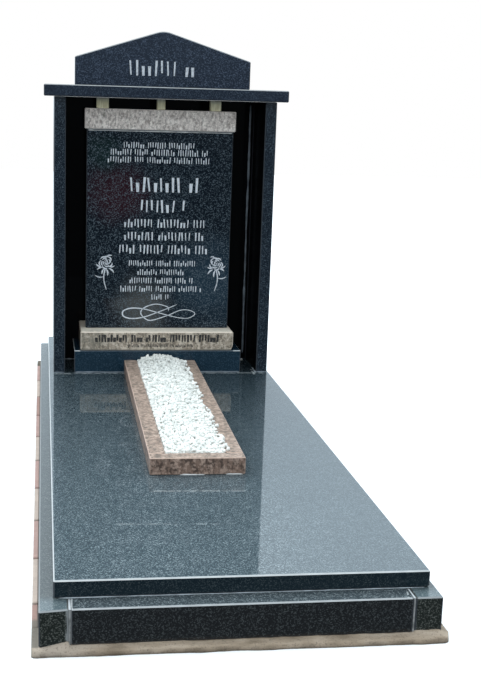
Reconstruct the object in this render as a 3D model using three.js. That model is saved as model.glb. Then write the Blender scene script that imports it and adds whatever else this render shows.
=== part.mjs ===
// A full-length granite grave memorial: a kerb on a cement and brick footing, a ledger slab, and a canopied
// headstone that holds an inscribed tablet, with a pebble tray in front of it.
// Millimetres, +Z up. X runs across the memorial, the headstone stands near the +Y end and faces -Y.
// The origin is the middle of the footing, on the ground.
import * as THREE from "three";

// Gap left between two stones that touch
const SEAT = 0.3;
// Flat 45 degree edge ground along every sawn edge
const ARRIS = 2.8;
const SMALL_ARRIS = 2;

// Footing, as much of it as shows above the ground
const FOOTING_HEIGHT = 15;
const FOOTING_REACH_END = 26;
const FOOTING_REACH_SIDE = 14;
const CEMENT_STRIP_DEPTH = 108;
const BRICK_WIDTH = 106;
const BRICK_LENGTH = 240;
const BRICK_JOINT = 10;
const FIRST_BRICK_LENGTH = 110;
const SHORTEST_BRICK = 60;

// Kerb
const KERB_WIDTH = 820;
const KERB_LENGTH = 2520;
const KERB_HEIGHT = 76;
const KERB_THICKNESS = 58;
const GROUT_LEFT = 5;
const GROUT_RIGHT = 4;
const GROUT_RECESS = 1.5;
// The front left corner was laid a little forward, so the front is out of square
const CORNER_FORWARD = 11.7;
const FRONT_RAIL_FORWARD = 3.7;

// Ledger slab
const LEDGER_THICKNESS = 37;
const LEDGER_INSET_LEFT = 29;
const LEDGER_INSET_RIGHT = 14;
const LEDGER_SETBACK = 49;

// Headstone: two side slabs, a back slab between them and a cap
const HEADSTONE_WIDTH = 754;
const HEADSTONE_HEIGHT = 942;
const HEADSTONE_FROM_FRONT = 1841;
const HEADSTONE_OFFSET = 12.6;
const SIDE_SLAB_THICKNESS = 39;
const BACK_SLAB_THICKNESS = 38;
const NICHE_DEPTH = 215;
const CAP_THICKNESS = 38.5;
const CAP_OVERHANG_SIDE = 34;
const CAP_OVERHANG_FRONT = 29;
const CAP_OVERHANG_BACK = 20;

// Gabled pediment on the cap
const PEDIMENT_WIDTH = 600;
const PEDIMENT_SHOULDER = 94;
const PEDIMENT_APEX = 188;
const PEDIMENT_THICKNESS = 38;
const PEDIMENT_SETBACK = 71;
const PEDIMENT_OFFSET = 5.3;
const APEX_ROUNDING = 26;
const APEX_STEPS = 6;

// Base block, bars and tablet, from the ledger upwards
const BLOCK_WIDTH = 587;
const BLOCK_HEIGHT = 78;
const BOTTOM_BAR_WIDTH = 537;
const BOTTOM_BAR_HEIGHT = 66.5;
const BOTTOM_BAR_OFFSET = -3.5;
const TABLET_WIDTH = 506;
const TABLET_HEIGHT = 692;
const TABLET_THICKNESS = 38;
const TABLET_SETBACK = 70;
const TOP_BAR_HEIGHT = 68;
const TOP_BAR_OVERHANG = 7;
const TOP_BAR_DEPTH = 60;
const TOP_BAR_PROUD = 4;

// Packing blocks: middle of each from the tablet's middle, width, and turn seen from above
const PACKING_DEPTH = 34;
const PACKING_SETBACK = 3;
const PACKING = [
  { name: "packing_block_left", x: -200, width: 40, turn: 0.09 },
  { name: "packing_block_middle", x: 0, width: 29, turn: 0 },
  { name: "packing_block_right", x: 189, width: 37, turn: -0.03 },
];

// Pebble tray on the ledger, laid slightly askew
const TRAY_WIDTH = 248;
const TRAY_LENGTH = 1140;
const TRAY_HEIGHT = 45;
const TRAY_RAIL = 43;
const TRAY_LEFT_FROM_KERB = 278.5;
const TRAY_TURN = -0.0105;
const TRAY_CLEARANCE = 3;
// Pebbles: middle size of one, depth below the rail at the rim, and the heap against the base block
const PEBBLE_SIZE = 17;
const PEBBLE_LUMP = 6;
const PEBBLE_CROWN = 9;
const PEBBLE_HEAP = 20;
const PEBBLE_HEAP_LENGTH = 90;

// Levels
const KERB_BASE = FOOTING_HEIGHT + SEAT;
const KERB_TOP = KERB_BASE + KERB_HEIGHT;
const LEDGER_BASE = KERB_TOP + SEAT;
const LEDGER_TOP = LEDGER_BASE + LEDGER_THICKNESS;
const STONE_BASE = LEDGER_TOP + SEAT;
const CAP_BASE = STONE_BASE + HEADSTONE_HEIGHT + SEAT;
const PEDIMENT_BASE = CAP_BASE + CAP_THICKNESS + SEAT;
const BOTTOM_BAR_BASE = STONE_BASE + BLOCK_HEIGHT + SEAT;
const TABLET_BASE = BOTTOM_BAR_BASE + BOTTOM_BAR_HEIGHT + SEAT;
const TOP_BAR_BASE = TABLET_BASE + TABLET_HEIGHT + SEAT;
const PACKING_BASE = TOP_BAR_BASE + TOP_BAR_HEIGHT + SEAT;

// Places in plan
const KERB_LEFT = -KERB_WIDTH / 2;
const KERB_RIGHT = KERB_WIDTH / 2;
const KERB_FRONT = -KERB_LENGTH / 2;
const KERB_BACK = KERB_LENGTH / 2;
const HEADSTONE_FRONT = KERB_FRONT + HEADSTONE_FROM_FRONT;
const NICHE_BACK = HEADSTONE_FRONT + NICHE_DEPTH;
const SIDE_SLAB_DEPTH = NICHE_DEPTH + BACK_SLAB_THICKNESS;
const TABLET_FRONT = HEADSTONE_FRONT + TABLET_SETBACK;
const TOP_BAR_FRONT = TABLET_FRONT - TOP_BAR_PROUD;

const darkGranite = { color: 0x232b33, roughness: 0.12, metalness: 0 };
const beigeGranite = { color: 0xa89a8b, roughness: 0.35, metalness: 0 };
const brownGranite = { color: 0x9a8476, roughness: 0.45, metalness: 0 };
const cement = { color: 0xada08f, roughness: 0.95, metalness: 0 };
const brick = { color: 0xb59a88, roughness: 0.95, metalness: 0 };
const grout = { color: 0x8d9193, roughness: 0.9, metalness: 0 };
const paleWood = { color: 0xb5ad88, roughness: 0.8, metalness: 0 };
const whitePebble = { color: 0xf2f4f2, roughness: 0.6, metalness: 0 };

const memorial = new THREE.Group();

function addMesh(name, geometry, finish) {
  const mesh = new THREE.Mesh(geometry, new THREE.MeshStandardMaterial(finish));
  mesh.name = name;
  memorial.add(mesh);
  return mesh;
}

// A flat outline carried up by height, with every edge cut at 45 degrees by the arris.
function chamferedPrism(points, height, arris) {
  const shape = new THREE.Shape(points);
  const geometry = new THREE.ExtrudeGeometry(shape, {
    depth: height - 2 * arris,
    bevelEnabled: true,
    bevelSegments: 1,
    bevelThickness: arris,
    bevelSize: arris,
    bevelOffset: -arris,
    steps: 1,
  });
  geometry.translate(0, 0, arris);
  return geometry;
}

// The points that replace one corner: cut back along both of its sides, straight across or in a round.
function cutCorner(before, corner, after, cut, steps) {
  const first = new THREE.Vector2().subVectors(before, corner).setLength(cut).add(corner);
  const last = new THREE.Vector2().subVectors(after, corner).setLength(cut).add(corner);
  return new THREE.QuadraticBezierCurve(first, corner, last).getPoints(steps);
}

// A convex outline with every corner cut; cutAt(i) gives the cut and the steps of corner i.
function cutCorners(corners, cutAt) {
  const count = corners.length;
  return corners.flatMap((corner, i) => {
    const { cut, steps } = cutAt(i);
    return cutCorner(corners[(i + count - 1) % count], corner, corners[(i + 1) % count], cut, steps);
  });
}

// A stone whose plan is a list of corners, anticlockwise, standing on a level.
function addPlanStone(name, plan, base, height, finish, arris = ARRIS) {
  const corners = plan.map(([x, y]) => new THREE.Vector2(x, y));
  const outline = cutCorners(corners, () => ({ cut: arris, steps: 1 }));
  const mesh = addMesh(name, chamferedPrism(outline, height, arris), finish);
  mesh.position.z = base;
  return mesh;
}

// A square stone given by its lowest and highest corner.
function addStone(name, low, high, finish, arris = ARRIS) {
  const plan = [
    [low[0], low[1]],
    [high[0], low[1]],
    [high[0], high[1]],
    [low[0], high[1]],
  ];
  return addPlanStone(name, plan, low[2], high[2] - low[2], finish, arris);
}

function addFooting() {
  const outerX = KERB_RIGHT + FOOTING_REACH_SIDE;
  const outerY = KERB_BACK + FOOTING_REACH_END;
  const innerY = outerY - CEMENT_STRIP_DEPTH;
  addStone("cement_front", [-outerX, -outerY, 0], [outerX, -innerY, FOOTING_HEIGHT], cement, SMALL_ARRIS);
  addStone("cement_back", [-outerX, innerY, 0], [outerX, outerY, FOOTING_HEIGHT], cement, SMALL_ARRIS);

  // The joints between bricks, counted from the front cement strip
  const ends = [];
  let start = -innerY + SEAT;
  let end = start + FIRST_BRICK_LENGTH;
  while (end < innerY - SHORTEST_BRICK) {
    ends.push([start, end]);
    start = end + BRICK_JOINT;
    end = start + BRICK_LENGTH;
  }
  ends.push([start, innerY - SEAT]);

  for (const side of ["left", "right"]) {
    const outer = side === "left" ? -outerX : outerX - BRICK_WIDTH;
    ends.forEach(([front, back], i) => {
      const name = `brick_${side}_${String(i + 1).padStart(2, "0")}`;
      addStone(name, [outer, front, 0], [outer + BRICK_WIDTH, back, FOOTING_HEIGHT], brick, SMALL_ARRIS);
    });
  }
}

// How far forward of the square front line the kerb's face stands at x.
function frontLine(x) {
  const railStart = KERB_LEFT + KERB_THICKNESS + GROUT_LEFT;
  if (x <= railStart) {
    const share = (railStart - x) / (railStart - KERB_LEFT);
    return KERB_FRONT - FRONT_RAIL_FORWARD - share * (CORNER_FORWARD - FRONT_RAIL_FORWARD);
  }
  const share = (KERB_RIGHT - x) / (KERB_RIGHT - railStart);
  return KERB_FRONT - share * FRONT_RAIL_FORWARD;
}

function addKerb() {
  const leftInner = KERB_LEFT + KERB_THICKNESS;
  const rightInner = KERB_RIGHT - KERB_THICKNESS;
  addPlanStone(
    "kerb_left",
    [
      [KERB_LEFT, frontLine(KERB_LEFT)],
      [leftInner, frontLine(leftInner)],
      [leftInner, KERB_BACK],
      [KERB_LEFT, KERB_BACK],
    ],
    KERB_BASE,
    KERB_HEIGHT,
    darkGranite,
  );
  addPlanStone(
    "kerb_right",
    [
      [rightInner, frontLine(rightInner)],
      [KERB_RIGHT, frontLine(KERB_RIGHT)],
      [KERB_RIGHT, KERB_BACK],
      [rightInner, KERB_BACK],
    ],
    KERB_BASE,
    KERB_HEIGHT,
    darkGranite,
  );
  const railLeft = leftInner + GROUT_LEFT;
  const railRight = rightInner - GROUT_RIGHT;
  const railBack = KERB_FRONT + KERB_THICKNESS;
  addPlanStone(
    "kerb_front",
    [
      [railLeft, frontLine(railLeft)],
      [railRight, frontLine(railRight)],
      [railRight, railBack],
      [railLeft, railBack],
    ],
    KERB_BASE,
    KERB_HEIGHT,
    darkGranite,
  );
  addStone(
    "kerb_back",
    [railLeft, KERB_BACK - KERB_THICKNESS, KERB_BASE],
    [railRight, KERB_BACK, KERB_TOP],
    darkGranite,
  );

  // Grout fills each corner joint, a little below the faces of the stones
  const joints = [
    { name: "left", from: leftInner, to: railLeft },
    { name: "right", from: railRight, to: rightInner },
  ];
  for (const { name, from, to } of joints) {
    const front = Math.max(frontLine(from), frontLine(to)) + GROUT_RECESS;
    addGrout(`grout_front_${name}`, from, to, front, railBack);
    addGrout(`grout_back_${name}`, from, to, KERB_BACK - KERB_THICKNESS, KERB_BACK - GROUT_RECESS);
  }
}

function addGrout(name, from, to, front, back) {
  const width = to - from - 2 * SEAT;
  const height = KERB_HEIGHT - GROUT_RECESS;
  const geometry = new THREE.BoxGeometry(width, back - front, height);
  const mesh = addMesh(name, geometry, grout);
  mesh.position.set((from + to) / 2, (front + back) / 2, KERB_BASE + height / 2);
}

function addLedger() {
  addStone(
    "ledger",
    [KERB_LEFT + LEDGER_INSET_LEFT, KERB_FRONT + LEDGER_SETBACK, LEDGER_BASE],
    [KERB_RIGHT - LEDGER_INSET_RIGHT, KERB_BACK - LEDGER_SETBACK, LEDGER_TOP],
    darkGranite,
  );
}

function addHeadstone() {
  const left = HEADSTONE_OFFSET - HEADSTONE_WIDTH / 2;
  const right = HEADSTONE_OFFSET + HEADSTONE_WIDTH / 2;
  const leftInner = left + SIDE_SLAB_THICKNESS;
  const rightInner = right - SIDE_SLAB_THICKNESS;
  const back = HEADSTONE_FRONT + SIDE_SLAB_DEPTH;
  const top = STONE_BASE + HEADSTONE_HEIGHT;
  addStone("side_slab_left", [left, HEADSTONE_FRONT, STONE_BASE], [leftInner, back, top], darkGranite);
  addStone("side_slab_right", [rightInner, HEADSTONE_FRONT, STONE_BASE], [right, back, top], darkGranite);
  addStone(
    "back_slab",
    [leftInner + SEAT, NICHE_BACK, STONE_BASE],
    [rightInner - SEAT, back, top],
    darkGranite,
  );
  addStone(
    "cap",
    [left - CAP_OVERHANG_SIDE, HEADSTONE_FRONT - CAP_OVERHANG_FRONT, CAP_BASE],
    [right + CAP_OVERHANG_SIDE, back + CAP_OVERHANG_BACK, CAP_BASE + CAP_THICKNESS],
    darkGranite,
  );
}

// A house-shaped outline: upright shoulders and two slopes that meet in a small round.
function pedimentOutline() {
  const half = PEDIMENT_WIDTH / 2;
  const corners = [
    new THREE.Vector2(-half, 0),
    new THREE.Vector2(half, 0),
    new THREE.Vector2(half, PEDIMENT_SHOULDER),
    new THREE.Vector2(0, PEDIMENT_APEX),
    new THREE.Vector2(-half, PEDIMENT_SHOULDER),
  ];
  const isApex = (i) => corners[i].y === PEDIMENT_APEX;
  return cutCorners(corners, (i) =>
    isApex(i) ? { cut: APEX_ROUNDING, steps: APEX_STEPS } : { cut: ARRIS, steps: 1 },
  );
}

function addPediment() {
  const geometry = chamferedPrism(pedimentOutline(), PEDIMENT_THICKNESS, ARRIS);
  geometry.rotateX(Math.PI / 2);
  const mesh = addMesh("pediment", geometry, darkGranite);
  mesh.position.set(PEDIMENT_OFFSET, HEADSTONE_FRONT + PEDIMENT_SETBACK + PEDIMENT_THICKNESS, PEDIMENT_BASE);
}

function addTabletStack() {
  addStone(
    "base_block",
    [-BLOCK_WIDTH / 2, HEADSTONE_FRONT, STONE_BASE],
    [BLOCK_WIDTH / 2, NICHE_BACK - SEAT, STONE_BASE + BLOCK_HEIGHT],
    darkGranite,
  );
  addStone(
    "bottom_bar",
    [BOTTOM_BAR_OFFSET - BOTTOM_BAR_WIDTH / 2, HEADSTONE_FRONT, BOTTOM_BAR_BASE],
    [BOTTOM_BAR_OFFSET + BOTTOM_BAR_WIDTH / 2, NICHE_BACK - SEAT, BOTTOM_BAR_BASE + BOTTOM_BAR_HEIGHT],
    beigeGranite,
  );
  addStone(
    "tablet",
    [-TABLET_WIDTH / 2, TABLET_FRONT, TABLET_BASE],
    [TABLET_WIDTH / 2, TABLET_FRONT + TABLET_THICKNESS, TABLET_BASE + TABLET_HEIGHT],
    darkGranite,
    SMALL_ARRIS,
  );
  const topBarHalf = TABLET_WIDTH / 2 + TOP_BAR_OVERHANG;
  addStone(
    "top_bar",
    [-topBarHalf, TOP_BAR_FRONT, TOP_BAR_BASE],
    [topBarHalf, TOP_BAR_FRONT + TOP_BAR_DEPTH, TOP_BAR_BASE + TOP_BAR_HEIGHT],
    beigeGranite,
    SMALL_ARRIS,
  );
}

function addPacking() {
  const height = CAP_BASE - SEAT - PACKING_BASE;
  for (const { name, x, width, turn } of PACKING) {
    const mesh = addMesh(name, new THREE.BoxGeometry(width, PACKING_DEPTH, height), paleWood);
    mesh.position.set(x, TOP_BAR_FRONT + PACKING_SETBACK + PACKING_DEPTH / 2, PACKING_BASE + height / 2);
    mesh.rotation.z = turn;
  }
}

// Height of the pebbles above the tray's foot: a crown across, a heap at the back, and a lump at each stone.
function pebbleHeight(u, v, i, j) {
  const crown = PEBBLE_CROWN * Math.sin(Math.PI * Math.min(Math.max(u, 0), 1));
  const fromBack = (1 - v) * (TRAY_LENGTH - TRAY_RAIL);
  const heap = PEBBLE_HEAP * Math.exp(-((fromBack / PEBBLE_HEAP_LENGTH) ** 2)) * Math.sin(Math.PI * u);
  const noise = Math.sin(i * 12.9898 + j * 78.233) * 43758.5453;
  const lump = PEBBLE_LUMP * (noise - Math.floor(noise) - 1);
  return TRAY_HEIGHT + crown + heap + lump;
}

// The bed of pebbles: a lumpy top over upright sides and a flat foot.
function pebbleBed(width, length) {
  const across = Math.max(2, Math.round(width / PEBBLE_SIZE));
  const along = Math.max(2, Math.round(length / PEBBLE_SIZE));
  const positions = [];
  const top = (i, j) => j * (across + 1) + i;
  for (let j = 0; j <= along; j++) {
    for (let i = 0; i <= across; i++) {
      const u = i / across;
      const v = j / along;
      positions.push(u * width, v * length, pebbleHeight(u, v, i, j));
    }
  }
  const rim = [];
  for (let i = 0; i < across; i++) rim.push([i, 0]);
  for (let j = 0; j < along; j++) rim.push([across, j]);
  for (let i = across; i > 0; i--) rim.push([i, along]);
  for (let j = along; j > 0; j--) rim.push([0, j]);
  const foot = positions.length / 3;
  const footOutline = rim.map(([i, j]) => new THREE.Vector2((i / across) * width, (j / along) * length));
  footOutline.forEach((point) => positions.push(point.x, point.y, 0));

  const faces = [];
  for (let j = 0; j < along; j++) {
    for (let i = 0; i < across; i++) {
      faces.push(top(i, j), top(i + 1, j), top(i + 1, j + 1));
      faces.push(top(i, j), top(i + 1, j + 1), top(i, j + 1));
    }
  }
  rim.forEach(([i, j], k) => {
    const next = (k + 1) % rim.length;
    const upper = top(i, j);
    const upperNext = top(...rim[next]);
    faces.push(foot + k, foot + next, upperNext);
    faces.push(foot + k, upperNext, upper);
  });
  for (const [a, b, c] of THREE.ShapeUtils.triangulateShape(footOutline, [])) {
    faces.push(foot + a, foot + c, foot + b);
  }
  const geometry = new THREE.BufferGeometry();
  geometry.setAttribute("position", new THREE.Float32BufferAttribute(positions, 3));
  geometry.setIndex(faces);
  geometry.computeVertexNormals();
  return geometry;
}

function addTray() {
  const tray = new THREE.Group();
  const back = HEADSTONE_FRONT - TRAY_CLEARANCE;
  tray.position.set(KERB_LEFT + TRAY_LEFT_FROM_KERB, back - TRAY_LENGTH, STONE_BASE);
  tray.rotation.z = TRAY_TURN;
  memorial.add(tray);
  const inner = TRAY_WIDTH - TRAY_RAIL;
  const rails = [
    addStone("tray_front", [0, 0, 0], [TRAY_WIDTH, TRAY_RAIL, TRAY_HEIGHT], brownGranite, SMALL_ARRIS),
    addStone(
      "tray_left",
      [0, TRAY_RAIL + SEAT, 0],
      [TRAY_RAIL, TRAY_LENGTH, TRAY_HEIGHT],
      brownGranite,
      SMALL_ARRIS,
    ),
    addStone(
      "tray_right",
      [inner, TRAY_RAIL + SEAT, 0],
      [TRAY_WIDTH, TRAY_LENGTH, TRAY_HEIGHT],
      brownGranite,
      SMALL_ARRIS,
    ),
  ];
  const bed = addMesh(
    "pebbles",
    pebbleBed(inner - TRAY_RAIL - 2 * SEAT, TRAY_LENGTH - TRAY_RAIL - 2 * SEAT),
    whitePebble,
  );
  bed.position.set(TRAY_RAIL + SEAT, TRAY_RAIL + SEAT, 0);
  tray.add(...rails, bed);
}

addFooting();
addKerb();
addLedger();
addHeadstone();
addPediment();
addTabletStack();
addPacking();
addTray();

export default memorial;
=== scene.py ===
# %% [markdown]
# # A granite grave memorial with a canopied headstone
#
# The real thing is a kit of sawn slabs. Four kerb stones stand on a low footing of brick and mortar, a
# ledger slab lies on them, and the headstone near its far end is two side slabs, a back slab and a cap.
# Inside stands an engraved tablet between two beige bars, and in front of it lies a tray of white pebbles.
#
# The slabs already have their true shape and place in the frame, so this script leaves them as they are
# and gives them stone to be made of. What is rough, loose or fine is modelled here: mortar, pebbles,
# sealant, packing blocks and the engraving.

# %% Load the slabs
import bmesh
import bpy
import math
import numpy as np
from mathutils import Matrix, Vector


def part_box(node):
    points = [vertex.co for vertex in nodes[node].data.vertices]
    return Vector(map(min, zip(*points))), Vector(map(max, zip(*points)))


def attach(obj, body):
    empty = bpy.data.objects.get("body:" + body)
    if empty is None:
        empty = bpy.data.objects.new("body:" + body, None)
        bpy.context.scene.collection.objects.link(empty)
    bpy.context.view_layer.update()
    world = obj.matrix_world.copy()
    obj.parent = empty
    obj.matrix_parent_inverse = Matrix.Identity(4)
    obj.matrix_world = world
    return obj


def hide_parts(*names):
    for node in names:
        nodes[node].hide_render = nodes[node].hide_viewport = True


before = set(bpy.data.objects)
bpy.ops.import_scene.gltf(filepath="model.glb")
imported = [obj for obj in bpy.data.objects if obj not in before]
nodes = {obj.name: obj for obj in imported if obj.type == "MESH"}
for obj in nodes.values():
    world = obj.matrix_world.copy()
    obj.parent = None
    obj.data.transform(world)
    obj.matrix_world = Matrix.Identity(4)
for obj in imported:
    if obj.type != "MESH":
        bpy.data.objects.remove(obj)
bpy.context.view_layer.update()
MM = 0.001
print("slabs and other solids in the frame:", len(nodes))

# %% [markdown]
# ## Camera
# The camera stands low at the foot of the grave, a little to the left, level with the cap's underside. Its
# place was worked out from the straight edges of the stones. The focal length is given in pixels of the
# picture, so it turns into millimetres of lens by the sensor's long side. The optical axis passes a little
# left of the picture's middle, which a small sideways shift gives.

# %% Camera
PICTURE_WIDTH = 481
PICTURE_HEIGHT = 691
FOCAL_PIXELS = 1159.1
AXIS_PIXEL_X = 204.0
SENSOR = 36.0
EYE = Vector((-0.4005, -3.3810, 1.0672))
LOOK = Vector((0.1374, 0.9689, -0.2060)).normalized()
LEVEL = Vector((0.9905, -0.1344, 0.0283))


def make_camera():
    """Three axes at right angles: backwards along the look, sideways along the picture's rows, and up."""
    data = bpy.data.cameras.new("camera")
    data.sensor_width = SENSOR
    data.lens = SENSOR * FOCAL_PIXELS / PICTURE_HEIGHT
    data.shift_x = (PICTURE_WIDTH / 2 - AXIS_PIXEL_X) / PICTURE_HEIGHT
    camera = bpy.data.objects.new("camera", data)
    back = -LOOK
    side = (LEVEL - back * LEVEL.dot(back)).normalized()
    up = back.cross(side)
    camera.matrix_world = Matrix.Translation(EYE) @ Matrix((side, up, back)).transposed().to_4x4()
    bpy.context.scene.collection.objects.link(camera)
    return camera


bpy.context.scene.camera = make_camera()
print("lens", round(bpy.context.scene.camera.data.lens, 2), "mm")

# %% [markdown]
# ## Writing shaders as sums
# A stone's colour is a sum of masks: so much fleck, so much dust, so much bare arris. Wiring that by hand
# hides the idea, so a small class wraps a socket and turns each operator into one Math node. A second
# class holds one material and adds any other node, with its settings first and the values of its sockets
# after.


# %% Numbers on their way through a material
class Wire:
    """A number on its way through a material. Each operator adds one Math node."""

    def __init__(self, sheet, socket):
        self.sheet = sheet
        self.socket = socket

    def math(self, operation, *values):
        return self.sheet.node("ShaderNodeMath", {"operation": operation}, dict(enumerate(values)))

    def __add__(self, other):
        return self.math("ADD", self, other)

    __radd__ = __add__

    def __mul__(self, other):
        return self.math("MULTIPLY", self, other)

    __rmul__ = __mul__

    def __sub__(self, other):
        return self.math("SUBTRACT", self, other)

    def __rsub__(self, other):
        return self.math("SUBTRACT", other, self)

    def __abs__(self):
        return self.math("ABSOLUTE", self)

    def most(self, other):
        return self.math("MAXIMUM", self, other)

    def least(self, other):
        return self.math("MINIMUM", self, other)

    def step(self, low, high):
        """0 below low, 1 above high and a smooth rise between them."""
        sockets = {"Value": self, "From Min": low, "From Max": high}
        return self.sheet.node("ShaderNodeMapRange", {"interpolation_type": "SMOOTHSTEP"}, sockets)


# %% A material being wired
class Sheet:
    """One material, or the world, while its nodes are being wired."""

    def __init__(self, name, owner=None):
        self.owner = owner or bpy.data.materials.new(name)
        self.owner.use_nodes = True
        self.tree = self.owner.node_tree
        self.tree.nodes.clear()
        self.places = None

    def node(self, kind, settings=None, sockets=None, out=0):
        """Adds a node, sets it up, fills its sockets with values, colours or links, and gives one output."""
        made = self.tree.nodes.new(kind)
        for key, value in (settings or {}).items():
            if key == "stops":
                self.fill_ramp(made.color_ramp, value)
            else:
                setattr(made, key, value)
        for key, value in (sockets or {}).items():
            socket = self.find(made.inputs, key)
            if isinstance(value, Wire):
                self.tree.links.new(value.socket, socket)
            elif socket.type == "RGBA":
                socket.default_value = (*value, 1.0)
            else:
                socket.default_value = value
        return Wire(self, self.find(made.outputs, out)) if made.outputs else None

    @staticmethod
    def find(sockets, key):
        """A socket by its number, or by its name or identifier."""
        if isinstance(key, int):
            return sockets[key]
        return next(s for s in sockets if key in (s.identifier, s.name))

    @staticmethod
    def fill_ramp(ramp, stops):
        """Gives a colour ramp its stops, each a place and a colour."""
        while len(ramp.elements) < len(stops):
            ramp.elements.new(0.5)
        for element, (place, colour) in zip(ramp.elements, stops):
            element.position = place
            element.color = (*colour, 1.0)

    def place(self):
        """Where a point is on its object, in metres."""
        if self.places is None:
            self.places = self.node("ShaderNodeTexCoord", out="Object")
        return self.places

    def axis(self, vector, letter):
        return self.node("ShaderNodeSeparateXYZ", None, {"Vector": vector}, letter)

    def far(self, letter):
        """How far a point lies along X, Y or Z, in metres."""
        return self.axis(self.place(), letter)

    def vector(self, operation, first, second, out="Vector"):
        """One Vector Math node on two vectors."""
        return self.node("ShaderNodeVectorMath", {"operation": operation}, {0: first, 1: second}, out)

    def noise(self, size, detail=3.0, stretch=(1, 1, 1)):
        """Clouds about size metres across, between 0 and 1."""
        spread = self.node("ShaderNodeMapping", None, {"Vector": self.place(), "Scale": stretch})
        sockets = {"Vector": spread, "Scale": 1 / size, "Detail": detail}
        return self.node("ShaderNodeTexNoise", None, sockets, "Fac")

    def crystals(self, size):
        """A number for each crystal of a stone, the same all over that crystal."""
        cells = self.node("ShaderNodeTexVoronoi", None, {"Vector": self.place(), "Scale": 1 / size}, "Color")
        return self.node("ShaderNodeSeparateColor", None, {"Color": cells}, "Red")

    def mix(self, mask, first, second):
        """The first colour where the mask is 0 and the second where it is 1."""
        sockets = {"Factor_Float": mask, "A_Color": first, "B_Color": second}
        return self.node("ShaderNodeMix", {"data_type": "RGBA"}, sockets, "Result_Color")

    def bump(self, height, distance, strength=1.0):
        sockets = {"Height": height, "Distance": distance, "Strength": strength}
        return self.node("ShaderNodeBump", None, sockets)

    def finish(self, colour, roughness, normal=None, **constants):
        """Wires the shader and hands back the finished material."""
        sockets = {"Base Color": colour, "Roughness": roughness}
        if normal is not None:
            sockets["Normal"] = normal
        sockets.update({key.replace("_", " "): value for key, value in constants.items()})
        shader = self.node("ShaderNodeBsdfPrincipled", None, sockets)
        self.node("ShaderNodeOutputMaterial", None, {"Surface": shader})
        return self.owner


# %% [markdown]
# ## Polished dark granite
# This granite is a nearly black ground with small pale crystals, and its polish mirrors what stands on it.
# One glossy shader could do both, but then every dull patch would also change the stone. So the stone is a
# matt body, and the polish is a clear coat on top, which a mask can thin wherever the stone is not polished.
#
# Three things break the black. Dust settles on faces that look up, most of it towards the foot of the grave.
# Grout was wiped over the stone near the joints. The arris, the narrow edge ground at 45 degrees, is never
# polished and shows as a pale line, painted paler the more it faces up: painted light on the sawn stone. The
# stones' own normals tell these faces apart, so one recipe serves every slab: a face whose normal lies along
# no axis is an arris. Under the bottom bar the block's top arris is painted dark, which is painted shade, and
# at the kerb's joints the top arris is darkened too. The niche round the tablet is painted dark and its
# polish thinned, which is painted shade, as little sky gets into it. Soft patches of painted reflection,
# reddish, bluish and grey, lie on the tablet.


# %% Masks for stone
def facing(sheet):
    """The three letters of the face's own normal, and 1 on an arris."""
    normal = sheet.node("ShaderNodeNewGeometry", out="True Normal")
    east, north, up = (sheet.axis(normal, letter) for letter in "XYZ")
    straight = abs(east).most(abs(north)).most(abs(up))
    return east, north, up, 1 - straight.step(0.84, 0.93)


def smear(sheet, start, end, width, strength):
    """A wiped streak: 1 along the line between two points, fading out at width, and broken up by noise."""
    line = Vector(end) - Vector(start)
    from_start = sheet.vector("SUBTRACT", sheet.place(), start)
    along = sheet.vector("DOT_PRODUCT", from_start, line, "Value")
    share = (along * (1 / line.length_squared)).most(0.0).least(1.0)
    nearest = sheet.node("ShaderNodeVectorMath", {"operation": "SCALE"}, {0: line, "Scale": share})
    near = 1 - sheet.vector("DISTANCE", from_start, nearest, "Value").step(width * 0.4, width)
    return near * sheet.noise(0.012, 4).step(0.38, 0.6) * strength


def glow(sheet, middle, reach):
    """A soft patch: 1 at its middle and 0 beyond its reach, a little ragged."""
    gap = sheet.vector("DISTANCE", sheet.place(), middle, "Value")
    return 1 - (gap * (1 / reach) + sheet.noise(reach * 0.5, 2) * 0.5).step(0.45, 1.15)


def in_niche(sheet, east, north):
    """1 on the faces that look into the niche: the inner sides of its slabs and the front of its back."""
    sides = 1 - (east * sheet.far("X")).step(-0.25, -0.1)
    deep = sheet.far("Y").step(NICHE_BACK - 0.01, NICHE_BACK - 0.005)
    return sides.most((north * -1.0).step(0.5, 0.9) * deep)


def between(sheet, low, high):
    """1 where a place lies between two values across."""
    across = sheet.far("X")
    return across.step(low - 0.002, low) * (1 - across.step(high, high + 0.002))


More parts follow.
